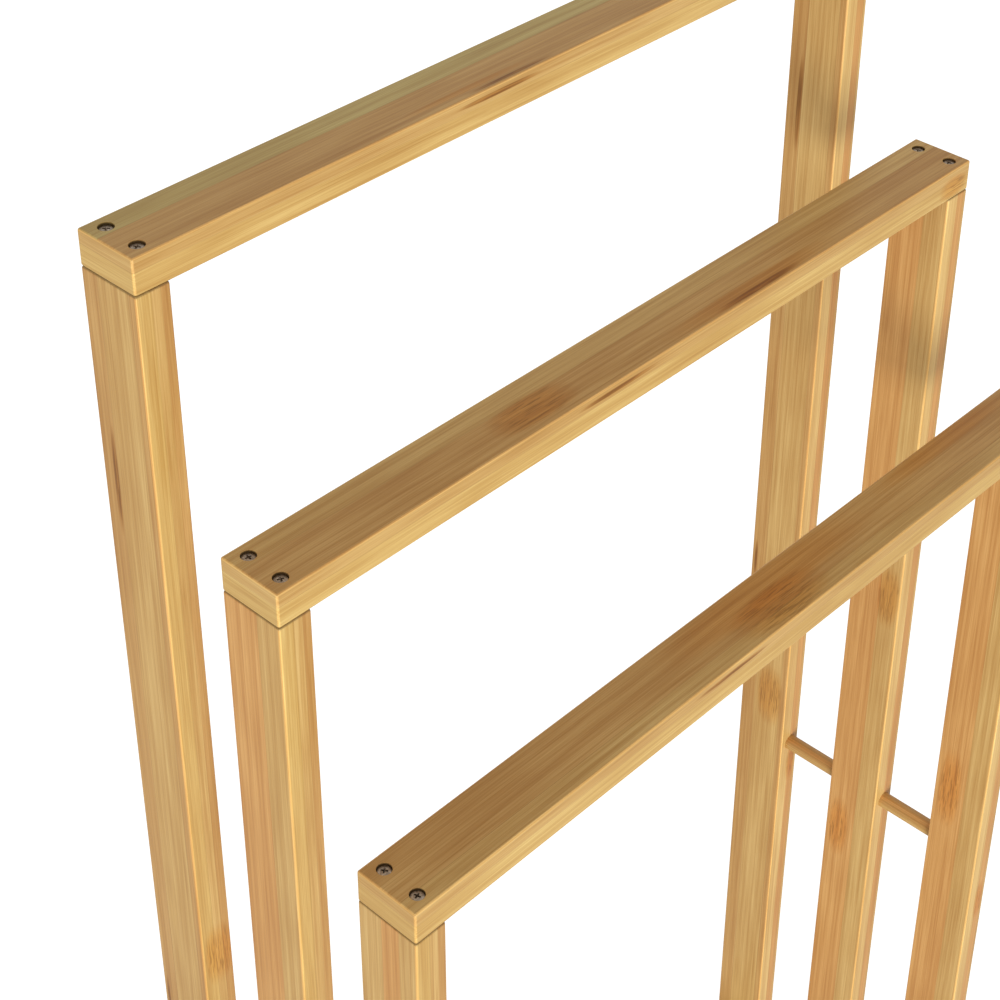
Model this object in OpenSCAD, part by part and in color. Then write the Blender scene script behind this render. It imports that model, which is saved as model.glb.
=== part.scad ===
// Free-standing towel rack: three stepped frames of flat bamboo bar on a low base.
// +Z is up, +X runs to the right along the rails, and the lowest rail is at the front, towards -Y.
// The origin is the middle of the footprint, on the surface that the rack stands on.

/* [Rack] */
// Height of the top of the tallest rail
rack_height = 820; // [700:5:950]
// Width over the ends of the rails
rack_width = 418; // [300:5:700]
// How much lower each rail is than the one behind it
rail_drop = 106.5; // [60:0.5:150]
// Distance from each frame to the next, front to back
frame_pitch = 64; // [50:0.5:100]
// How far the feet run past the frames at the front and at the back
foot_overhang = 41; // [30:1:60]

/* [Bars] */
// Wide side of the bamboo bar
bar_wide = 30; // [26:1:40]
// Narrow side of the bamboo bar
bar_thin = 15; // [12:1:20]
// Radius of the bars' eased edges
edge_r = 1; // [0.5:0.1:2.5]

/* [Dowels] */
// Diameter of the round spacer dowels
dowel_d = 8.4; // [5:0.2:10]
// Height of the dowels' axes above the floor
dowel_height = 316.8; // [150:0.2:400]
// How deep each end of a dowel sits in its post
dowel_socket = 10; // [6:0.5:12]

/* [Screws] */
// Distance between the two screws of a joint
screw_spacing = 16.8; // [14:0.2:18]
// Length of a screw, head included
screw_length = 30; // [26:1:32]
// Diameter of a screw's head
head_d = 5.6; // [5:0.1:6.5]
// Diameter of a screw's shank
shank_d = 3; // [2.5:0.1:3.5]

/* [Pads] */
// Diameter of the round rubber pads
pad_d = 12; // [10:0.5:12]
// Thickness of the rubber pads
pad_h = 2; // [1:0.5:4]

/* [Hidden] */
$fn = 48;
head_h = 2.2; // height of a screw's head
head_sunk = 0.8; // depth of a head below the bar's surface
foot_head_sunk = 14; // depth of a head inside a foot, whose bar is twice as deep
head_play = 0.2; // radial gap around a head in its counterbore
shank_play = 0.2; // radial gap around a shank in the bar it passes through
pilot_past = 1; // how far a pilot hole runs past the screw's point
point_h = 4; // length of a screw's tapered point
recess_l = 3; // length of the cross recess's arms, end to end
recess_w = 0.8; // width of the cross recess's arms
recess_h = 1.2; // depth of the cross recess
glue_gap = 0.05; // radial gap around a dowel in its socket
stretcher_inset = 18; // from a foot's end to the middle of its stretcher
pad_inset = 12; // from a foot's end to the middle of its pad
eps = 0.01;

bamboo = [0.85, 0.69, 0.43];
dark_steel = [0.30, 0.28, 0.26];
black_rubber = [0.10, 0.10, 0.10];

BACK = 0;
MIDDLE = 1;
FRONT = 2;
LEFT = -1;
RIGHT = 1;
REAR = 1;
FORE = -1;

foot_length = 2 * (frame_pitch + foot_overhang) + bar_wide;
foot_top = pad_h + bar_wide;
post_x = (rack_width - bar_thin) / 2;
stretcher_y = foot_length / 2 - stretcher_inset;
stretcher_length = rack_width - 2 * bar_thin;
pad_y = foot_length / 2 - pad_inset;
dowel_length = frame_pitch - bar_wide + 2 * dowel_socket;

function frame_y(i) = (MIDDLE - i) * frame_pitch;
function rail_top(i) = rack_height - i * rail_drop;
function post_top(i) = rail_top(i) - bar_thin;

// ---- Shapes that repeat ----

module rounded_rect(a, b) {
    square([a - 2 * edge_r, b], center = true);
    square([a, b - 2 * edge_r], center = true);
    for (x = [-1, 1], y = [-1, 1])
        translate([x * (a / 2 - edge_r), y * (b / 2 - edge_r)])
            circle(r = edge_r);
}

// A bar centred on the origin with every edge eased
module bar(x, y, z) {
    intersection() {
        linear_extrude(z, center = true) rounded_rect(x, y);
        rotate([90, 0, 0]) linear_extrude(y, center = true) rounded_rect(x, z);
        rotate([90, 0, 90]) linear_extrude(x, center = true) rounded_rect(y, z);
    }
}

// A screw with its head's outer face at the origin, pointing down
module screw() {
    difference() {
        union() {
            translate([0, 0, -head_h]) cylinder(d = head_d, h = head_h);
            translate([0, 0, point_h - screw_length])
                cylinder(d = shank_d, h = screw_length - point_h - head_h + eps);
            translate([0, 0, -screw_length])
                cylinder(d1 = shank_d / 4, d2 = shank_d, h = point_h);
        }
        for (turn = [0, 90])
            rotate(turn) translate([-recess_l / 2, -recess_w / 2, -recess_h])
                cube([recess_l, recess_w, recess_h + eps]);
    }
}

// The hole for a screw whose bar has its surface at the origin: counterbore and clearance
module screw_hole(sunk, through) {
    translate([0, 0, -sunk - head_h])
        cylinder(d = head_d + 2 * head_play, h = sunk + head_h + eps);
    translate([0, 0, -through - eps])
        cylinder(d = shank_d + 2 * shank_play, h = through);
}

// The pilot hole that a screw's thread cuts into, from the bar's surface at the origin
module pilot_hole(depth) {
    translate([0, 0, -depth - pilot_past])
        cylinder(d = shank_d, h = depth + pilot_past + eps);
}

// Both screws of a joint lie along Y
module screw_pair() {
    for (end = [-1, 1])
        translate([0, end * screw_spacing / 2, 0]) children();
}

// Places a thing on the outer side of a foot, facing outwards, at a stretcher's end
module at_stretcher_end(side, end) {
    translate([side * rack_width / 2, end * stretcher_y, pad_h + bar_wide / 2])
        rotate([0, side * 90, 0])
            for (row = [-1, 1])
                translate([row * screw_spacing / 2, 0, 0]) children();
}

// ---- Bars ----

module rail(i) {
    color(bamboo)
        translate([0, frame_y(i), rail_top(i)])
            difference() {
                translate([0, 0, -bar_thin / 2]) bar(rack_width, bar_wide, bar_thin);
                for (side = [LEFT, RIGHT])
                    translate([side * post_x, 0, 0])
                        screw_pair() screw_hole(head_sunk, bar_thin);
            }
}

module dowel_sockets(i) {
    for (face = [FORE, REAR])
        if (i - face >= BACK && i - face <= FRONT)
            translate([0, face * bar_wide / 2, dowel_height])
                rotate([face * 90, 0, 0]) translate([0, 0, -eps])
                    cylinder(d = dowel_d + 2 * glue_gap, h = dowel_socket + eps);
}

module post(i, side) {
    color(bamboo)
        translate([side * post_x, frame_y(i), 0])
            difference() {
                translate([0, 0, (foot_top + post_top(i)) / 2])
                    bar(bar_thin, bar_wide, post_top(i) - foot_top);
                translate([0, 0, post_top(i)])
                    screw_pair() pilot_hole(head_sunk + screw_length - bar_thin);
                translate([0, 0, foot_top]) rotate([180, 0, 0])
                    screw_pair() pilot_hole(foot_head_sunk + screw_length - bar_wide);
                dowel_sockets(i);
            }
}

module foot(side) {
    color(bamboo)
        difference() {
            translate([side * post_x, 0, pad_h + bar_wide / 2])
                bar(bar_thin, foot_length, bar_wide);
            for (i = [BACK, MIDDLE, FRONT])
                translate([side * post_x, frame_y(i), pad_h]) rotate([180, 0, 0])
                    screw_pair() screw_hole(foot_head_sunk, bar_wide);
            for (end = [FORE, REAR])
                at_stretcher_end(side, end) screw_hole(head_sunk, bar_thin);
        }
}

module stretcher(end) {
    color(bamboo)
        difference() {
            translate([0, end * stretcher_y, pad_h + bar_wide / 2])
                bar(stretcher_length, bar_thin, bar_wide);
            for (side = [LEFT, RIGHT])
                at_stretcher_end(side, end) translate([0, 0, -bar_thin])
                    pilot_hole(head_sunk + screw_length - bar_thin);
        }
}

// ---- Dowels and pads ----

module dowel(end, side) {
    color(bamboo)
        translate([side * post_x, end * frame_pitch / 2, dowel_height])
            rotate([90, 0, 0]) cylinder(d = dowel_d, h = dowel_length - 1, center = true);
}

module pad(end, side) {
    color(black_rubber)
        translate([side * post_x, end * pad_y, 0]) cylinder(d = pad_d, h = pad_h);
}

// ---- Sub-parts ----

module back_rail() { rail(BACK); }
module middle_rail() { rail(MIDDLE); }
module front_rail() { rail(FRONT); }

module back_left_post() { post(BACK, LEFT); }
module middle_left_post() { post(MIDDLE, LEFT); }
module front_left_post() { post(FRONT, LEFT); }
module back_right_post() { post(BACK, RIGHT); }
module middle_right_post() { post(MIDDLE, RIGHT); }
module front_right_post() { post(FRONT, RIGHT); }

module left_foot() { foot(LEFT); }
module right_foot() { foot(RIGHT); }
module rear_stretcher() { stretcher(REAR); }
module front_stretcher() { stretcher(FORE); }

module rear_left_dowel() { dowel(REAR, LEFT); }
module front_left_dowel() { dowel(FORE, LEFT); }
module rear_right_dowel() { dowel(REAR, RIGHT); }
module front_right_dowel() { dowel(FORE, RIGHT); }

module rail_screws() {
    color(dark_steel)
        for (i = [BACK, MIDDLE, FRONT], side = [LEFT, RIGHT])
            translate([side * post_x, frame_y(i), rail_top(i) - head_sunk])
                screw_pair() screw();
}

module foot_screws() {
    color(dark_steel)
        for (i = [BACK, MIDDLE, FRONT], side = [LEFT, RIGHT])
            translate([side * post_x, frame_y(i), pad_h + foot_head_sunk])
                rotate([180, 0, 0]) screw_pair() screw();
}

module stretcher_screws() {
    color(dark_steel)
        for (side = [LEFT, RIGHT], end = [FORE, REAR])
            at_stretcher_end(side, end) translate([0, 0, -head_sunk]) screw();
}

module rear_left_pad() { pad(REAR, LEFT); }
module front_left_pad() { pad(FORE, LEFT); }
module rear_right_pad() { pad(REAR, RIGHT); }
module front_right_pad() { pad(FORE, RIGHT); }

back_rail();
middle_rail();
front_rail();
back_left_post();
middle_left_post();
front_left_post();
back_right_post();
middle_right_post();
front_right_post();
left_foot();
right_foot();
rear_stretcher();
front_stretcher();
rear_left_dowel();
front_left_dowel();
rear_right_dowel();
front_right_dowel();
rail_screws();
foot_screws();
stretcher_screws();
rear_left_pad();
front_left_pad();
rear_right_pad();
front_right_pad();
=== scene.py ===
import math

import bmesh
import bpy
from mathutils import Matrix, Vector


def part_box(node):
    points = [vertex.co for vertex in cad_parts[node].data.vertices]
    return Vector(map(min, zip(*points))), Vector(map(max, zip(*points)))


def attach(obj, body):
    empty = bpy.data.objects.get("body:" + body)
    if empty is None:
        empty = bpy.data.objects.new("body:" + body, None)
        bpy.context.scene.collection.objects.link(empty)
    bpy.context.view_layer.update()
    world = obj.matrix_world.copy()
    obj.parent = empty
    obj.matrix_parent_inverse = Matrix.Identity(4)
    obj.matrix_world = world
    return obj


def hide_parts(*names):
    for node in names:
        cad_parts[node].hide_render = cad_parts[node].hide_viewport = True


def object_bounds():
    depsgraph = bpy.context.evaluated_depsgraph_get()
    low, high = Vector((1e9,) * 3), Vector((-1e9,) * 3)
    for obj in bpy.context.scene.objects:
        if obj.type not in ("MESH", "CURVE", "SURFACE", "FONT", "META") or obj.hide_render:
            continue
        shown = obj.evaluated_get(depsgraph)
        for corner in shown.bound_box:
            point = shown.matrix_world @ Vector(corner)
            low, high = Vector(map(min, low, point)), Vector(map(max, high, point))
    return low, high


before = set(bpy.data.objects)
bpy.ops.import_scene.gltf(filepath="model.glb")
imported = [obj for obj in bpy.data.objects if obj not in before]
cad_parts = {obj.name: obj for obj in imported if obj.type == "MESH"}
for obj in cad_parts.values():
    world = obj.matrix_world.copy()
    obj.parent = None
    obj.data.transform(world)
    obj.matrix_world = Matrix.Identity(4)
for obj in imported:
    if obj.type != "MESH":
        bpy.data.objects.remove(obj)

# A free-standing towel rack: three stepped frames of laminated bamboo bar, screwed to a low base.
# Every piece replaces one node of the frame, whose box gives its place and size.

cad_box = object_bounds()
MM = 0.001

# ---------------------------------------------------------------- sizes

EDGE_R = 1.0 * MM  # radius of the bars' rounded edges
EDGE_STEPS = 5
SHARP_ANGLE = math.radians(35)  # steeper edges than this stay sharp
ROUND = 48  # sides of round things

SCREW_GAP = 16.8 * MM  # between the two screws of a joint
SCREW_LENGTH = 30 * MM
HEAD_R = 2.8 * MM
HEAD_H = 2.2 * MM
HEAD_DOME = 0.35 * MM
HEAD_LIP = 0.45 * MM
SHANK_R = 1.5 * MM
THREAD_PITCH = 1.5 * MM
THREAD_LENGTH = 17 * MM
THREAD_DEPTH = 0.42 * MM
THREAD_STEPS = 6  # rings for each turn of the thread
POINT_H = 4 * MM
POINT_STEPS = 8
HEAD_SUNK = 0.8 * MM  # depth of a head below the bar's surface
FOOT_HEAD_SUNK = 14 * MM

COUNTERBORE_R = 3.0 * MM
CLEARANCE_R = 1.7 * MM
PILOT_R = 1.5 * MM
PILOT_PAST = 1 * MM  # how far a pilot hole runs past the screw's point
RIM_BREAK = 0.12 * MM  # the broken edge around a hole's mouth
GLUE_GAP = 0.05 * MM  # around a dowel in its socket
SOCKET_SPARE = 0.5 * MM  # beyond a dowel's end in its socket

FRAMES = ("back", "middle", "front")
SIDES = ("left", "right")
ENDS = ("rear", "front")


def middle(node):
    """The middle of a node's box."""
    low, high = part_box(node)
    return (low + high) / 2


def size(node):
    """The extents of a node's box."""
    low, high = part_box(node)
    return high - low


# ---------------------------------------------------------------- mesh helpers


def lathe(bm, profile, place, sides=ROUND, ridge=None):
    """Adds a closed surface turned about Z. profile runs from pole to pole as (radius, z).

    ridge gives what is added to the radius at an angle and a height.
    """
    rings = []
    for radius, z in profile:
        if radius == 0:
            rings.append([bm.verts.new(place @ Vector((0, 0, z)))])
            continue
        ring = []
        for i in range(sides):
            angle = 2 * math.pi * i / sides
            r = radius + (ridge(angle, z) if ridge else 0)
            ring.append(bm.verts.new(place @ Vector((r * math.cos(angle), r * math.sin(angle), z))))
        rings.append(ring)
    for a, b in zip(rings, rings[1:]):
        for i in range(sides):
            j = (i + 1) % sides
            corners = [a[i % len(a)], a[j % len(a)], b[j % len(b)], b[i % len(b)]]
            bm.faces.new(list(dict.fromkeys(corners)))


def new_piece(name, bm, place=None):
    """Turns a closed bmesh into an object in the scene."""
    bmesh.ops.recalc_face_normals(bm, faces=bm.faces)
    mesh = bpy.data.meshes.new(name)
    bm.to_mesh(mesh)
    bm.free()
    piece = bpy.data.objects.new(name, mesh)
    bpy.context.scene.collection.objects.link(piece)
    if place is not None:
        piece.matrix_world = place
    return piece


def bake_modifiers(piece):
    """Gives the piece the mesh that its modifiers make, and removes them."""
    bpy.context.view_layer.update()
    evaluated = piece.evaluated_get(bpy.context.evaluated_depsgraph_get())
    mesh = bpy.data.meshes.new_from_object(evaluated)
    piece.modifiers.clear()
    piece.data = mesh


def cut(piece, cutter_bm):
    """Takes the cutter's solids, given in the piece's own space, out of the piece."""
    cutter = new_piece("cutter", cutter_bm, piece.matrix_world.copy())
    boolean = piece.modifiers.new("cut", "BOOLEAN")
    boolean.operation = "DIFFERENCE"
    boolean.solver = "EXACT"
    boolean.object = cutter
    bake_modifiers(piece)
    bpy.data.objects.remove(cutter)


def smooth(piece):
    """Smooth fillets beside truly flat faces."""
    for face in piece.data.polygons:
        face.use_smooth = True
    piece.data.set_sharp_from_angle(angle=SHARP_ANGLE)
    weighted = piece.modifiers.new("normals", "WEIGHTED_NORMAL")
    weighted.keep_sharp = True
    weighted.weight = 80
    bake_modifiers(piece)


def finished(piece, node, material):
    """Gives the piece its material, and its part in the rack in place of the node."""
    piece.data.materials.clear()
    piece.data.materials.append(material)
    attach(piece, "root")
    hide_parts(node)


# ---------------------------------------------------------------- where the screws and dowels are


def facing(direction):
    """Turns +Z to a direction."""
    return Vector((0, 0, 1)).rotation_difference(Vector(direction)).to_matrix().to_4x4()


def screw_places():
    """For each group of screws: where they enter the wood, with +Z pointing out of it,
    how far the heads are sunk, and how deep the first bar is.
    """
    rail, foot, stretcher = [], [], []
    for side, sign in zip(SIDES, (-1, 1)):
        foot_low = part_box(f"{side}_foot")[0]
        for name in FRAMES:
            post = middle(f"{name}_{side}_post")
            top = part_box(f"{name}_rail")[1].z
            for step in (-SCREW_GAP / 2, SCREW_GAP / 2):
                rail.append(Matrix.Translation((post.x, post.y + step, top)))
                under = Matrix.Translation((post.x, post.y + step, foot_low.z))
                foot.append(under @ facing((0, 0, -1)))
        outer = sign * max(abs(corner.x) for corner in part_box(f"{side}_foot"))
        for end in ENDS:
            bar = middle(f"{end}_stretcher")
            for step in (-SCREW_GAP / 2, SCREW_GAP / 2):
                at = Matrix.Translation((outer, bar.y, bar.z + step))
                stretcher.append(at @ facing((sign, 0, 0)))
    return {
        "rail_screws": (rail, HEAD_SUNK, size("back_rail").z),
        "foot_screws": (foot, FOOT_HEAD_SUNK, size("left_foot").z),
        "stretcher_screws": (stretcher, HEAD_SUNK, size("left_foot").x),
    }


SCREWS = screw_places()
DOWELS = [f"{end}_{side}_dowel" for end in ENDS for side in SIDES]


def screw_hole(bm, place, sunk, bar):
    """Counterbore and clearance through the first bar, then the pilot hole in the second."""
    above = 1 * MM
    floor = -(sunk + HEAD_H)
    end = -(sunk + SCREW_LENGTH + PILOT_PAST)
    lathe(bm, (
        (0, above),
        (COUNTERBORE_R + RIM_BREAK, above),
        (COUNTERBORE_R + RIM_BREAK, 0),
        (COUNTERBORE_R, -RIM_BREAK),
        (COUNTERBORE_R, floor),
        (CLEARANCE_R, floor),
        (CLEARANCE_R, -bar),
        (PILOT_R, -bar),
        (PILOT_R, end),
        (0, end),
    ), place)


def dowel_hole(bm, node, to_local):
    """The room that one dowel takes up in its two posts."""
    extent = size(node)
    half = extent.y / 2 + SOCKET_SPARE
    radius = extent.x / 2 + GLUE_GAP
    place = to_local @ Matrix.Translation(middle(node)) @ facing((0, 1, 0))
    lathe(bm, ((0, -half), (radius, -half), (radius, half), (0, half)), place)


def overlaps(low, high, node):
    """Whether the box from low to high reaches into the node's box."""
    other_low, other_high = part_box(node)
    return all(low[i] < other_high[i] and high[i] > other_low[i] for i in range(3))


# ---------------------------------------------------------------- bars


def bar_frame(node):
    """A frame at the bar's centre: X along the grain, Y across its wide face, Z out of it."""
    extent = size(node)
    thin, wide, long = sorted(range(3), key=lambda axis: extent[axis])
    along = Vector([float(axis == long) for axis in range(3)])
    across = Vector([float(axis == wide) for axis in range(3)])
    turn = Matrix((along, across, along.cross(across))).transposed().to_4x4()
    return Matrix.Translation(middle(node)) @ turn, (extent[long], extent[wide], extent[thin])


def make_bar(node, material):
    """A bar with rounded edges, and with the holes of its screws and dowels."""
    place, (length, wide, thin) = bar_frame(node)
    bm = bmesh.new()
    bmesh.ops.create_cube(bm, size=1)
    bmesh.ops.scale(bm, vec=(length, wide, thin), verts=bm.verts)
    bmesh.ops.bevel(
        bm, geom=bm.edges[:], offset=EDGE_R, segments=EDGE_STEPS, profile=0.5, affect="EDGES"
    )
    piece = new_piece(node.replace("_", "-"), bm, place)

    to_local = place.inverted()
    cutter = bmesh.new()
    for places, sunk, bar in SCREWS.values():
        for at in places:
            start = at.to_translation()
            end = at @ Vector((0, 0, -(sunk + SCREW_LENGTH)))
            low = Vector([min(start[i], end[i]) for i in range(3)])
            high = Vector([max(start[i], end[i]) for i in range(3)])
            if overlaps(low, high, node):
                screw_hole(cutter, to_local @ at, sunk, bar)
    for dowel in DOWELS:
        if overlaps(*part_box(dowel), node):
            dowel_hole(cutter, dowel, to_local)
    cut(piece, cutter)
    smooth(piece)
    finished(piece, node, material)


# ---------------------------------------------------------------- screws, dowels and pads


def make_dowel(node, material):
    """A round rod with eased ends, whose own X runs along it."""
    extent = size(node)
    half, radius, ease = extent.y / 2, extent.x / 2, 0.6 * MM
    bm = bmesh.new()
    lathe(bm, (
        (0, -half),
        (radius - ease, -half),
        (radius, -half + ease),
        (radius, half - ease),
        (radius - ease, half),
        (0, half),
    ), facing((1, 0, 0)))
    turn = Matrix(((0, 0, -1), (1, 0, 0), (0, -1, 0))).to_4x4()
    piece = new_piece(node.replace("_", "-"), bm, Matrix.Translation(middle(node)) @ turn)
    smooth(piece)
    finished(piece, node, material)


def screw_mesh():
    """One cross-head wood screw, with the middle of its domed head's top at the origin."""
    core = SHANK_R - THREAD_DEPTH
    neck = SHANK_R * 0.95
    thread_top = -(SCREW_LENGTH - THREAD_LENGTH)

    def ridge(angle, z):
        """The thread, which fades out over the point."""
        if z > thread_top or z < -SCREW_LENGTH + THREAD_PITCH / 2:
            return 0
        turn = (z / THREAD_PITCH - angle / (2 * math.pi)) % 1
        taper = min(1, (z + SCREW_LENGTH) / POINT_H)
        return THREAD_DEPTH * taper * max(0, 1 - abs(turn - 0.5) * 4)

    profile = [(0, 0)]
    for share in (0.25, 0.5, 0.7, 0.85, 0.95):
        profile.append((HEAD_R * share, -HEAD_DOME * share**2))
    profile += [
        (HEAD_R, -HEAD_DOME - HEAD_LIP * 0.35),
        (HEAD_R, -HEAD_DOME - HEAD_LIP),
        (HEAD_R * 0.97, -HEAD_H),
        (neck, -HEAD_H),
        (neck, thread_top),
    ]
    threaded = THREAD_LENGTH - POINT_H
    steps = round(threaded / THREAD_PITCH * THREAD_STEPS)
    for i in range(1, steps + 1):
        profile.append((core, thread_top - threaded * i / steps))
    for i in range(1, POINT_STEPS):
        share = i / POINT_STEPS
        profile.append((core * (1 - 0.85 * share), -SCREW_LENGTH + POINT_H * (1 - share)))
    profile.append((0, -SCREW_LENGTH))
    bm = bmesh.new()
    lathe(bm, profile, Matrix.Identity(4), sides=32, ridge=ridge)
    screw = new_piece("screw", bm)
    for turn in (0, math.pi / 2):
        cut(screw, recess_arm(turn))
    cut(screw, recess_hub())
    mesh = screw.data
    bpy.data.objects.remove(screw)
    return mesh


def recess_hub():
    """The round middle of the cross recess, which tapers to a point."""
    bm = bmesh.new()
    lathe(bm, (
        (0, 1 * MM),
        (0.85 * MM, 1 * MM),
        (0.7 * MM, 0),
        (0.3 * MM, -1.6 * MM),
        (0, -1.7 * MM),
    ), Matrix.Identity(4), sides=16)
    return bm


def recess_arm(turn):
    """One arm of the cross recess: a wedge that narrows as it goes down."""
    bm = bmesh.new()
    bmesh.ops.create_cube(bm, size=1)
    top, depth = 0.6 * MM, 1.5 * MM
    for vert in bm.verts:
        low = vert.co.z < 0
        long = 1.3 * MM if low else 3.5 * MM
        wide = 0.45 * MM if low else 0.85 * MM
        vert.co = Vector((vert.co.x * long, vert.co.y * wide, -depth if low else top))
    bmesh.ops.rotate(bm, verts=bm.verts, matrix=Matrix.Rotation(turn, 3, "Z"))
    return bm


def make_screws(node, mesh, material):
    """One node's screws, each turned to another angle, as when driven by hand."""
    places, sunk, _ = SCREWS[node]
    bm = bmesh.new()
    for i, place in enumerate(places):
        single = mesh.copy()
        turned = place @ Matrix.Translation((0, 0, -sunk)) @ Matrix.Rotation(0.5 + 1.9 * i, 4, "Z")
        single.transform(turned)
        bm.from_mesh(single)
        bpy.data.meshes.remove(single)
    piece = new_piece(node.replace("_", "-"), bm)
    smooth(piece)
    finished(piece, node, material)


def make_pad(node, material):
    """A round rubber pad with a dished underside and a rounded rim."""
    low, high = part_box(node)
    radius, height = (high.x - low.x) / 2, high.z - low.z
    ease, dish, chamfer = 0.5 * MM, 0.25 * MM, 0.1 * MM
    rim_steps = 5
    bm = bmesh.new()
    profile = [(0, dish), (radius * 0.6, dish), (radius * 0.72, 0), (radius - ease, 0)]
    for i in range(1, rim_steps + 1):
        angle = math.pi / 2 * i / rim_steps
        profile.append((radius - ease + ease * math.sin(angle), ease - ease * math.cos(angle)))
    profile += [(radius, height - chamfer), (radius - chamfer, height), (0, height)]
    lathe(bm, profile, Matrix.Identity(4))
    at = Matrix.Translation(((low.x + high.x) / 2, (low.y + high.y) / 2, low.z))
    piece = new_piece(node.replace("_", "-"), bm, at)
    smooth(piece)
    finished(piece, node, material)


# ---------------------------------------------------------------- materials


class Graph:
    """Short calls for building one material's nodes."""

    def __init__(self, name):
        self.material = bpy.data.materials.new(name)
        self.material.use_nodes = True
        self.nodes = self.material.node_tree.nodes
        self.links = self.material.node_tree.links
        self.shader = self.nodes["Principled BSDF"]

    def put(self, socket, value):
        """Links another node's output to a socket, or sets the socket's value."""
        if isinstance(value, bpy.types.NodeSocket):
            self.links.new(value, socket)
        else:
            socket.default_value = value

    def math(self, operation, a, b=0.0, c=0.0):
        node = self.nodes.new("ShaderNodeMath")
        node.operation = operation
        for socket, value in zip(node.inputs, (a, b, c)):
            self.put(socket, value)
        return node.outputs[0]

    def vector(self, x, y, z):
        node = self.nodes.new("ShaderNodeCombineXYZ")
        for socket, value in zip(node.inputs, (x, y, z)):
            self.put(socket, value)
        return node.outputs[0]

    def mix(self, factor, a, b, blend="MIX"):
        node = self.nodes.new("ShaderNodeMix")
        node.data_type = "RGBA"
        node.blend_type = blend
        self.put(node.inputs[0], factor)
        self.put(node.inputs[6], a)
        self.put(node.inputs[7], b)
        return node.outputs[2]

    def fade(self, value, low, high, to_low=0.0, to_high=1.0):
        """A smooth step from to_low to to_high as the value goes from low to high."""
        node = self.nodes.new("ShaderNodeMapRange")
        node.interpolation_type = "SMOOTHSTEP"
        for socket, given in zip(node.inputs, (value, low, high, to_low, to_high)):
            self.put(socket, given)
        return node.outputs[0]

    def noise(self, vector, detail=2.0, roughness=0.5):
        node = self.nodes.new("ShaderNodeTexNoise")
        node.inputs["Scale"].default_value = 1.0
        node.inputs["Detail"].default_value = detail
        node.inputs["Roughness"].default_value = roughness
        self.links.new(vector, node.inputs["Vector"])
        return node.outputs["Fac"]

    def place(self):
        """The piece's own x, y and z, in millimetres."""
        source = self.nodes.new("ShaderNodeTexCoord")
        scaled = self.nodes.new("ShaderNodeVectorMath")
        scaled.operation = "SCALE"
        scaled.inputs["Scale"].default_value = 1 / MM
        self.links.new(source.outputs["Object"], scaled.inputs[0])
        split = self.nodes.new("ShaderNodeSeparateXYZ")
        self.links.new(scaled.outputs[0], split.inputs[0])
        return split.outputs

    def strips(self, position, half, layout, seed):
        """The colour of each glued strip across a face, and a number of its own from 0 to 1."""
        ramp = self.nodes.new("ShaderNodeValToRGB")
        ramp.color_ramp.interpolation = "CONSTANT"
        across = self.math("MULTIPLY_ADD", position, 0.5 / half, 0.5)
        self.links.new(across, ramp.inputs[0])
        stops = ramp.color_ramp.elements
        total = sum(width for width, _ in layout)
        start = 0.0
        for i, (width, tone) in enumerate(layout):
            if i:
                line = stops.new(start - GLUE_LINE / total)
                line.color = (*[c * GLUE_SHADE for c in TONES[tone]], 0.5)
            stop = stops[0] if i == 0 else stops.new(start)
            stop.position = start
            stop.color = (*TONES[tone], (0.37 * i + 0.19 * seed) % 1)
            start += width / total
        stops.remove(stops[-1])
        return ramp.outputs["Color"], ramp.outputs["Alpha"]


GLUE_LINE = 0.16  # width of the line between two strips, in millimetres
GLUE_SHADE = 0.84  # of the strip's own colour
JOINT_REACH = 15.5  # a rail's ends rest on the posts for this far, in millimetres

# The colours of the bamboo's strips.
TONES = {
    "sage": (0.545, 0.385, 0.128),
    "cream": (0.72, 0.465, 0.16),
    "pale": (0.64, 0.405, 0.126),
    "honey": (0.61, 0.37, 0.12),
    "tan": (0.555, 0.305, 0.093),
    "amber": (0.63, 0.32, 0.094),
}
# What the grain's dark and light lines do to the colour under them.
DARKER = (0.82, 0.72, 0.58, 1)
LIGHTER = (1.13, 1.21, 1.32, 1)
# What a warm patch does to the colour under it, and the painted highlight that lightens the bars'
# rounded edges.
BLUSH = (0.97, 0.78, 0.50, 1)
PAINTED_EDGE_HIGHLIGHT = (1.34, 1.31, 1.27, 1)
# The colours of a brown mark, and of the painted shade in a joint or a hole.
MARK_BROWN = (0.24, 0.095, 0.014, 1)
PAINTED_SHADE_BROWN = (0.05, 0.027, 0.01, 1)


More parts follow.
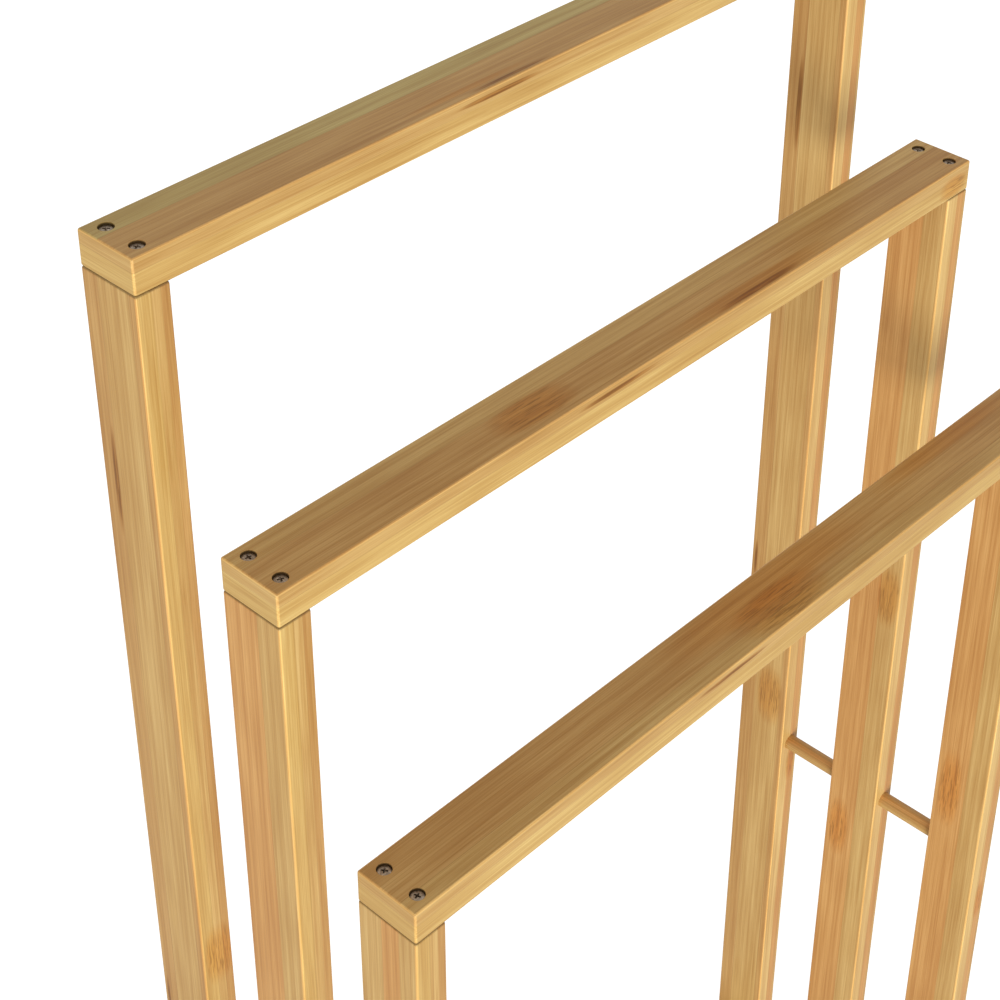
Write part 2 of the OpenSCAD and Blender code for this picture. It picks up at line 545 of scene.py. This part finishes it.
def bamboo(name, halves, wide, thin, seed, marks=(), kind="bar"):
    """Lacquered laminated bamboo. halves are half the bar's length, width and thickness in mm.

    kind is "bar", "rail" for a bar that lies flat on two posts, or "rod" for a turned one.
    """
    graph = Graph(name)
    x, y, z = graph.place()
    half_long, half_wide, half_thin = halves
    depth_y = graph.math("SUBTRACT", half_wide, graph.math("ABSOLUTE", y))
    depth_z = graph.math("SUBTRACT", half_thin, graph.math("ABSOLUTE", z))
    depth_x = graph.math("SUBTRACT", half_long, graph.math("ABSOLUTE", x))
    on_wide = graph.math("LESS_THAN", depth_z, depth_y)
    on_end = graph.math("LESS_THAN", depth_x, graph.math("MINIMUM", depth_y, depth_z))
    on_wide = graph.math("MULTIPLY", on_wide, graph.math("SUBTRACT", 1.0, on_end))

    wide_colour, wide_own = graph.strips(y, half_wide, wide, seed)
    thin_colour, thin_own = graph.strips(z, half_thin, thin, seed + 0.5)
    colour = graph.mix(on_wide, thin_colour, wide_colour)
    own = graph.math("ADD", graph.math("MULTIPLY", wide_own, on_wide), thin_own)

    # The grain runs along X, and along Y on an end, where the cut strips show as lines.
    along = graph.math("ADD", graph.math("MULTIPLY", x, graph.math("SUBTRACT", 1.0, on_end)),
                       graph.math("MULTIPLY", y, on_end))
    along = graph.math("ADD", along, graph.math("MULTIPLY_ADD", own, 731.0, seed * 97.0))
    side = graph.math("MULTIPLY", y, graph.math("SUBTRACT", 1.0, on_end))

    def grain(length, width, detail=2.0, roughness=0.5):
        """Noise whose spots are this long and wide, in millimetres."""
        vector = graph.vector(
            graph.math("MULTIPLY", along, 1 / length),
            graph.math("MULTIPLY", side, 1 / width),
            graph.math("MULTIPLY", z, 1 / width),
        )
        return graph.noise(vector, detail, roughness)

    bands = grain(170, 2.4, 1.5)
    streaks = grain(75, 0.75, 2.0)
    fibres = grain(28, 0.4, 3.0, 0.65)
    clouds = grain(60, 16, 1.0)
    for pattern, low, high, share in (
        (bands, 0.34, 0.66, 0.42),
        (streaks, 0.32, 0.68, 0.36),
        (fibres, 0.3, 0.7, 0.52),
        (clouds, 0.3, 0.7, 0.3),
    ):
        tint = graph.mix(graph.fade(pattern, low, high), DARKER, LIGHTER)
        colour = graph.mix(share, colour, tint, "MULTIPLY")

    for mark in marks:
        colour = add_mark(graph, colour, (x, y, z), on_wide, grain, *mark)

    # Painted highlight on the edges, and painted shade in the joints and holes, on every piece but
    # the rods.
    if kind != "rod":
        colour = paint_edge_light_and_shade(graph, colour, kind, (depth_x, depth_y, depth_z), (z, half_thin))

    graph.put(graph.shader.inputs["Base Color"], colour)
    graph.put(graph.shader.inputs["Roughness"], graph.fade(fibres, 0.3, 0.7, 0.36, 0.5))
    graph.shader.inputs["Specular IOR Level"].default_value = 0.3
    graph.shader.inputs["Coat Weight"].default_value = 0.15
    graph.shader.inputs["Coat Roughness"].default_value = 0.35
    bump = graph.nodes.new("ShaderNodeBump")
    bump.inputs["Strength"].default_value = 0.22
    bump.inputs["Distance"].default_value = 0.05 * MM
    graph.links.new(graph.math("ADD", fibres, streaks), bump.inputs["Height"])
    graph.links.new(bump.outputs["Normal"], graph.shader.inputs["Normal"])
    return graph.material


def paint_edge_light_and_shade(graph, colour, kind, depths, height):
    """Painted highlight on the rounded edges, painted shade in the joints at the bars' ends, and
    painted shade on the walls inside the holes.
    """
    depth_x, depth_y, depth_z = depths
    small = graph.math("MINIMUM", depth_y, depth_z)
    large = graph.math("MAXIMUM", depth_y, depth_z)
    # On a rail, the painted highlight leaves out the lower edges, and the painted shade runs along
    # the underside where the rail rests on a post.
    if kind == "rail":
        z, half_thin = height
        from_below = graph.math("ADD", z, half_thin)
        second = graph.math("MINIMUM", large, graph.math("MAXIMUM", small, depth_x))
        edge_highlight = graph.math("MULTIPLY", graph.fade(second, 1.0, 0.35),
                           graph.fade(from_below, 0.5, 1.5))
        joint_shade = graph.math("MULTIPLY", graph.fade(from_below, 0.9, 0.25),
                           graph.math("LESS_THAN", depth_x, JOINT_REACH))
    else:
        edge_highlight = graph.math("MULTIPLY", graph.fade(large, 1.0, 0.35), graph.fade(depth_x, 0.5, 1.5))
        joint_shade = graph.fade(depth_x, 0.9, 0.25)
    # Painted highlight: the rounded edges are made lighter, as a lamp would light them.
    colour = graph.mix(edge_highlight, colour, PAINTED_EDGE_HIGHLIGHT, "MULTIPLY")
    # Painted shade: the walls inside the holes and the joints at the bars' ends are darkened to a
    # deep brown.
    hole_shade = graph.fade(graph.math("MINIMUM", depth_x, small), 0.2, 0.6)
    dark = graph.math("MAXIMUM", graph.math("MULTIPLY", joint_shade, 0.45),
                      graph.math("MULTIPLY", hole_shade, 0.86))
    return graph.mix(dark, colour, PAINTED_SHADE_BROWN)


def add_mark(graph, colour, place, on_wide, grain, face, at_x, at_side, half_x, half_side, look):
    """A knuckle of the bamboo, as short dashes, a dark streak along the grain, or a warm blush.

    face is ("wide" or "thin", 1 or -1 for the side it faces). at_x, at_side, half_x and half_side
    are the mark's middle and half its size on that face, in millimetres.
    """
    x, y, z = place
    across, facing_out = (y, z) if face[0] == "wide" else (z, y)
    here = on_wide if face[0] == "wide" else graph.math("SUBTRACT", 1.0, on_wide)
    out = graph.math("GREATER_THAN", graph.math("MULTIPLY", facing_out, float(face[1])), 0.0)
    off_x = graph.math("MULTIPLY", graph.math("SUBTRACT", x, at_x), 1 / half_x)
    off_side = graph.math("MULTIPLY", graph.math("SUBTRACT", across, at_side), 1 / half_side)
    spread = graph.math(
        "ADD", graph.math("POWER", graph.math("ABSOLUTE", off_x), 2.0),
        graph.math("POWER", graph.math("ABSOLUTE", off_side), 4.0))
    mask = graph.math("MULTIPLY", graph.math("MULTIPLY", here, out),
                      graph.fade(spread, 1.0, 0.0))
    if look == "blush":
        return graph.mix(graph.math("MULTIPLY", mask, 0.8), colour, BLUSH, "MULTIPLY")
    if look == "streak":
        colour = graph.mix(mask, colour, BLUSH, "MULTIPLY")
        shade = graph.math("MULTIPLY", mask, graph.fade(grain(16, 0.9), 0.3, 0.6, 0.4, 1.0))
        return graph.mix(shade, colour, MARK_BROWN)
    colour = graph.mix(mask, colour, BLUSH, "MULTIPLY")
    dashes = graph.fade(grain(10, 0.6, 2.5), 0.48, 0.64)
    shade = graph.math("MULTIPLY", mask, graph.math("MULTIPLY", dashes, 0.62))
    return graph.mix(shade, colour, MARK_BROWN)


def fine_noise(graph, per_mm):
    """Noise with spots of about 1 / per_mm millimetres."""
    scaled = [graph.math("MULTIPLY", axis, per_mm) for axis in graph.place()]
    return graph.noise(graph.vector(*scaled), 3.0)


STEEL_DARK = (0.36, 0.29, 0.22, 1)
STEEL_WORN = (0.62, 0.51, 0.40, 1)


def dark_steel():
    """Darkened steel, worn brighter in patches."""
    graph = Graph("dark_steel")
    wear = graph.noise(graph.vector(*graph.place()), 3.0, 0.6)
    fine = fine_noise(graph, 4.0)
    colour = graph.mix(graph.fade(wear, 0.4, 0.7), STEEL_DARK, STEEL_WORN)
    graph.put(graph.shader.inputs["Base Color"], colour)
    graph.shader.inputs["Metallic"].default_value = 1.0
    graph.put(graph.shader.inputs["Roughness"], graph.fade(fine, 0.3, 0.7, 0.3, 0.5))
    return graph.material


def black_rubber():
    """Matte rubber with a fine grain."""
    graph = Graph("black_rubber")
    speckle = fine_noise(graph, 5.0)
    colour = graph.mix(speckle, (0.012, 0.012, 0.012, 1), (0.03, 0.03, 0.03, 1))
    graph.put(graph.shader.inputs["Base Color"], colour)
    graph.put(graph.shader.inputs["Roughness"], graph.fade(speckle, 0.3, 0.7, 0.65, 0.85))
    bump = graph.nodes.new("ShaderNodeBump")
    bump.inputs["Strength"].default_value = 0.3
    bump.inputs["Distance"].default_value = 0.05 * MM
    graph.links.new(speckle, bump.inputs["Height"])
    graph.links.new(bump.outputs["Normal"], graph.shader.inputs["Normal"])
    return graph.material


# ---------------------------------------------------------------- the bars' own grain

# A strip is its width in millimetres and its tone. Strips are in the order of the bar's own Y on a
# wide face, and of its Z on a narrow one. A mark is what add_mark takes from face on.
WIDE = ("wide", 1)  # a rail's top, or a post's left
NARROW = ("thin", -1)  # the front of either
RAIL_FRONT = ((9.4, "pale"), (5.6, "honey"))
FRONT_STREAK = (NARROW, -33, 4.3, 25, 1.2, "streak")
LEFT_FRONT = ((4.5, "tan"), (4, "honey"), (6.5, "pale"))
RIGHT_FRONT = ((2.5, "honey"), (5, "amber"), (7.5, "cream"))
BACK_MARKS = (
    (WIDE, 298, 7.6, 28, 1.5, "streak"),
    (WIDE, 20, 12.3, 14, 0.9, "streak"),
    (WIDE, -69, -4, 24, 9, "knuckle"))
MIDDLE_MARKS = (
    (WIDE, 95, -8, 22, 7, "knuckle"),
    (WIDE, -79, 7, 24, 7, "knuckle"))

BARS = {
    "back_rail": dict(
        wide=((19, "tan"), (11, "sage")), thin=RAIL_FRONT,
        marks=(FRONT_STREAK,
               (WIDE, -25, -12.6, 26, 1.0, "streak"),
               (WIDE, -45, -9, 40, 2, "blush"))),
    "middle_rail": dict(
        wide=((19, "tan"), (11, "honey")), thin=RAIL_FRONT,
        marks=(FRONT_STREAK,
               (WIDE, -70, -3.5, 25, 9, "knuckle"),
               (WIDE, 58, -12, 30, 1.8, "streak"),
               (WIDE, 55, -10, 60, 5, "blush"),
               (NARROW, 197, -1.4, 12, 6, "knuckle"))),
    "front_rail": dict(
        wide=((8, "honey"), (22, "tan")), thin=RAIL_FRONT,
        marks=(FRONT_STREAK,
               (WIDE, 10, -5, 32, 11, "knuckle"),
               (WIDE, 15, 6, 75, 10, "blush"),
               (WIDE, 150, 10, 60, 5, "blush"))),
    "back_left_post": dict(
        wide=((4, "tan"), (17, "honey"), (9, "tan")), thin=LEFT_FRONT,
        marks=BACK_MARKS + ((NARROW, 61, -1, 19, 8, "knuckle"),)),
    "middle_left_post": dict(
        wide=((12, "honey"), (18, "amber")), thin=LEFT_FRONT, marks=MIDDLE_MARKS),
    "front_left_post": dict(
        wide=((9, "honey"), (9, "amber"), (12, "honey")), thin=LEFT_FRONT),
    "back_right_post": dict(
        wide=((4, "tan"), (17, "honey"), (9, "tan")), thin=RIGHT_FRONT,
        marks=BACK_MARKS + ((NARROW, -118, -2, 16, 4, "knuckle"),)),
    "middle_right_post": dict(
        wide=((12, "honey"), (18, "amber")), thin=RIGHT_FRONT, marks=MIDDLE_MARKS),
    "front_right_post": dict(
        wide=((12, "honey"), (18, "amber")), thin=RIGHT_FRONT,
        marks=((WIDE, 48, 6, 30, 7, "knuckle"), (NARROW, -27, -2, 16, 4, "knuckle"))),
    "left_foot": dict(wide=((12, "tan"), (18, "honey")), thin=((6, "amber"), (9, "pale"))),
    "right_foot": dict(wide=((17, "honey"), (13, "tan")), thin=((8, "pale"), (7, "honey"))),
    "rear_stretcher": dict(wide=((10, "tan"), (20, "honey")), thin=((9, "pale"), (6, "tan"))),
    "front_stretcher": dict(wide=((19, "honey"), (11, "tan")), thin=((9, "pale"), (6, "amber"))),
}


ROD_STRIPS = dict(wide=((3, "tan"), (5, "honey")), thin=((5, "tan"), (3, "amber")))
ROD_SEED = 20  # the dowels' grain is numbered on from here


def make_rack():
    """Every piece of the rack, with its own grain on each bar and rod."""
    for number, (node, look) in enumerate(BARS.items()):
        halves = [extent / 2 / MM for extent in bar_frame(node)[1]]
        kind = "rail" if node.endswith("rail") else "bar"
        make_bar(node, bamboo(f"bamboo_{node}", halves, look["wide"], look["thin"], number + 1,
                              look.get("marks", ()), kind))
    half = size(DOWELS[0]) / 2 / MM
    past_end = 1  # so that the rods' hidden ends count as sides
    rod = [half.y + past_end, half.x, half.z]
    for number, node in enumerate(DOWELS, ROD_SEED):
        make_dowel(node, bamboo(f"rod_{node}", rod, **ROD_STRIPS, seed=number, kind="rod"))
    screw, steel = screw_mesh(), dark_steel()
    for node in SCREWS:
        make_screws(node, screw, steel)
    rubber = black_rubber()
    for end in ENDS:
        for side in SIDES:
            make_pad(f"{end}_{side}_pad", rubber)


# ---------------------------------------------------------------- studio


def aim(obj, azimuth, tilt, roll=0.0):
    """Points a camera or lamp: azimuth 0 looks along +Y, and tilt is how far it looks down."""
    obj.matrix_world = (
        Matrix.Translation(obj.location)
        @ Matrix.Rotation(math.radians(azimuth), 4, "Z")
        @ Matrix.Rotation(math.radians(90 - tilt), 4, "X")
        @ Matrix.Rotation(math.radians(roll), 4, "Z")
    )


def make_camera():
    """The camera looks down on the rack's upper part, from in front and to the left."""
    camera = bpy.data.cameras.new("camera")
    camera.sensor_width = 36
    camera.lens = 80.25
    camera.shift_x = -0.0148
    camera.shift_y = -0.2494
    camera.clip_start = 0.05
    obj = bpy.data.objects.new("camera", camera)
    top = Vector((0, 0, cad_box[1][2]))
    obj.location = top + Vector((-0.5759, -0.4730, 0.3896))
    aim(obj, azimuth=-46.558, tilt=31.646, roll=0.199)
    bpy.context.scene.collection.objects.link(obj)
    bpy.context.scene.camera = obj


def make_lamp(name, azimuth, height, distance, side, watts):
    """A square soft box that looks at the rack along an azimuth, from height degrees above level."""
    lamp = bpy.data.lights.new(name, "AREA")
    lamp.size = side
    lamp.energy = watts
    obj = bpy.data.objects.new(name, lamp)
    across = Matrix.Rotation(math.radians(azimuth), 3, "Z")
    above = Matrix.Rotation(math.radians(-height), 3, "X")
    centre = Vector((0, 0, cad_box[1][2] * 0.75))
    obj.location = centre + across @ above @ Vector((0, -distance, 0))
    aim(obj, azimuth, height)
    obj.visible_camera = False
    bpy.context.scene.collection.objects.link(obj)


def make_studio():
    """White surroundings, a wide soft lamp a little below level, and a weak one from above."""
    scene = bpy.context.scene
    scene.view_settings.view_transform = "Standard"
    world = bpy.data.worlds.new("studio")
    world.use_nodes = True
    background = world.node_tree.nodes["Background"]
    background.inputs["Color"].default_value = (1, 1, 1, 1)
    background.inputs["Strength"].default_value = 0.58
    scene.world = world
    make_lamp("key", azimuth=-38, height=-8, distance=6.0, side=2.8, watts=275)
    make_lamp("top", azimuth=-38, height=70, distance=6.0, side=3.0, watts=20)

    # The floor shows as plain white, and neither reflects in the rack nor lights it.
    graph = Graph("floor")
    graph.shader.inputs["Base Color"].default_value = (0.9, 0.9, 0.9, 1)
    graph.shader.inputs["Roughness"].default_value = 0.9
    graph.shader.inputs["Emission Color"].default_value = (1, 1, 1, 1)
    graph.shader.inputs["Emission Strength"].default_value = 0.62
    bm = bmesh.new()
    bmesh.ops.create_grid(bm, x_segments=1, y_segments=1, size=8)
    floor = new_piece("floor", bm, Matrix.Translation((0, 0, cad_box[0][2])))
    floor.data.materials.append(graph.material)
    floor.visible_diffuse = False
    floor.visible_glossy = False
    floor.visible_shadow = False


make_camera()
make_studio()
make_rack()
